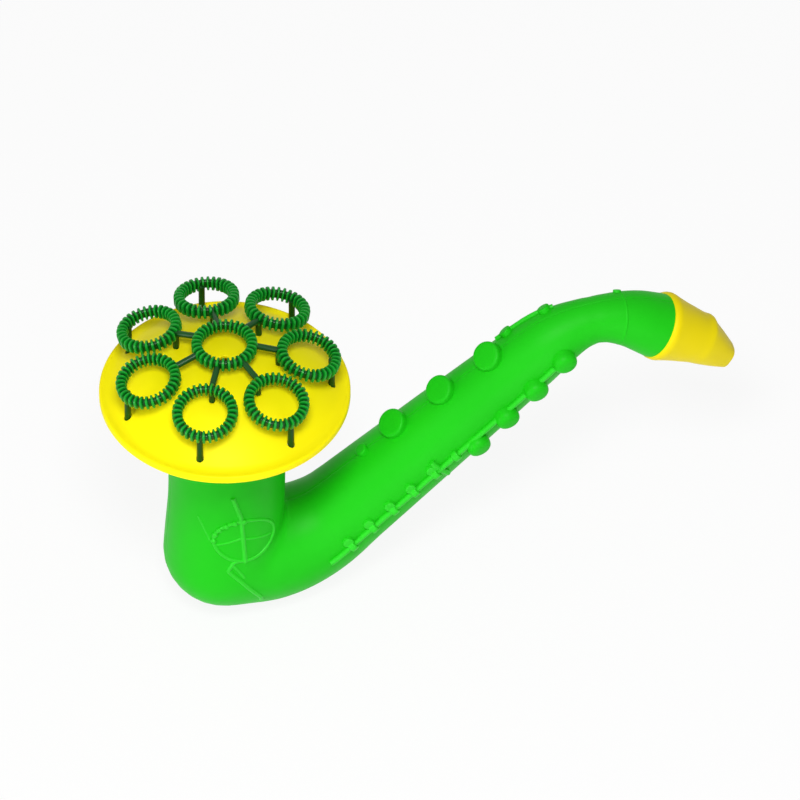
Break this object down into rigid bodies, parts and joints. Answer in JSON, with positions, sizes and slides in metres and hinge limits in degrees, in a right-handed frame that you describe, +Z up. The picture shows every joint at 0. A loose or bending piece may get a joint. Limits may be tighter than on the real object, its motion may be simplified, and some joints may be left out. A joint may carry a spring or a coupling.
{
  "type": "bubble blower horn",
  "caption": "Saxophone-shaped hand-held bubble blower with a hollow horn, beak mouthpiece, domed plate on the bell and a head of ribbed bubble rings.",
  "frame": {"origin": "centre of the rounded heel, on the bell's axis, where a hand holds the horn", "axes": "+Z up the bell's axis, +X towards the mouthpiece, -Y on the side that carries the round bell key"},
  "size_m": [0.2726, 0.105, 0.1478],
  "materials": {
    "horn_green": "glossy moulded polypropylene, bright green",
    "mouthpiece_yellow": "satin moulded polypropylene, deep yellow",
    "plate_yellow": "glossy moulded polypropylene, bright yellow",
    "ring_green": "glossy moulded polyethylene, dark green"
  },
  "bodies": {
    "horn": {"body_half_near": "horn_green", "body_half_far": "horn_green"},
    "mouth": {"mouthpiece": "mouthpiece_yellow"},
    "plate": {"bell_plate": "plate_yellow"},
    "ring_head": {"ring_centre": "ring_green", "ring_1": "ring_green", "ring_2": "ring_green", "ring_3": "ring_green", "ring_4": "ring_green", "ring_5": "ring_green", "ring_6": "ring_green", "ring_7": "ring_green"}
  },
  "joints": [
    {"name": "mouthpiece_pull", "type": "slide", "parent": "horn", "child": "mouth", "axis": [0.8387, 0, -0.5446], "range_m": [0, 0.03]},
    {"name": "plate_pull", "type": "slide", "parent": "horn", "child": "plate", "axis": [0, 0, 1], "range_m": [0, 0.04]},
    {"name": "ring_head_lift", "type": "slide", "parent": "plate", "child": "ring_head", "axis": [0, 0, 1], "range_m": [0, 0.03]}
  ]
}
